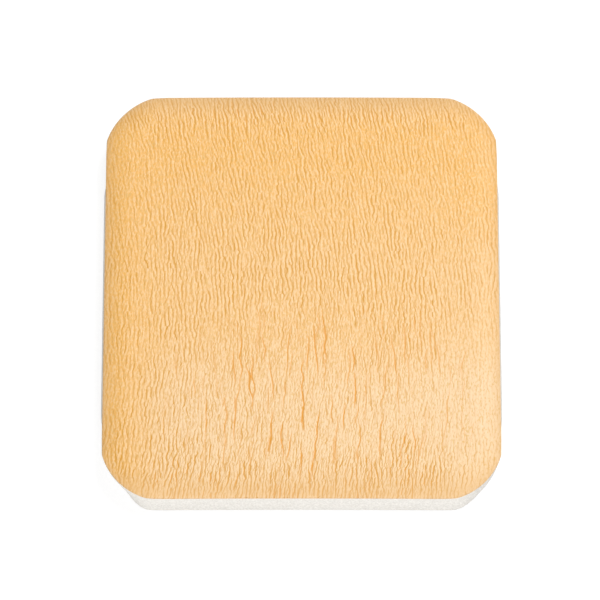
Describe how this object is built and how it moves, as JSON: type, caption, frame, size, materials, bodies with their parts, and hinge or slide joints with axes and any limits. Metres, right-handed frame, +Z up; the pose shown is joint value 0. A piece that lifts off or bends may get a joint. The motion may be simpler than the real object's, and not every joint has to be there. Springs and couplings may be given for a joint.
{
  "type": "foam dressing",
  "caption": "Rounded-square foam wound dressing without a border: a soft white absorbent pad under a creased apricot backing film.",
  "frame": {"origin": "centre of the flat wound face, on the surface the dressing lies on", "axes": "+Z up out of the backing film, +Y along the longer side and the creases, +X across"},
  "size_m": [0.076, 0.0822, 0.0072],
  "materials": {
    "foam": "matte open-cell polyurethane foam, off-white, with a cut wall",
    "film": "satin polyurethane film, apricot, finely creased lengthways"
  },
  "bodies": {
    "root": {"foam_pad": "foam", "backing_film": "film"}
  },
  "joints": []
}
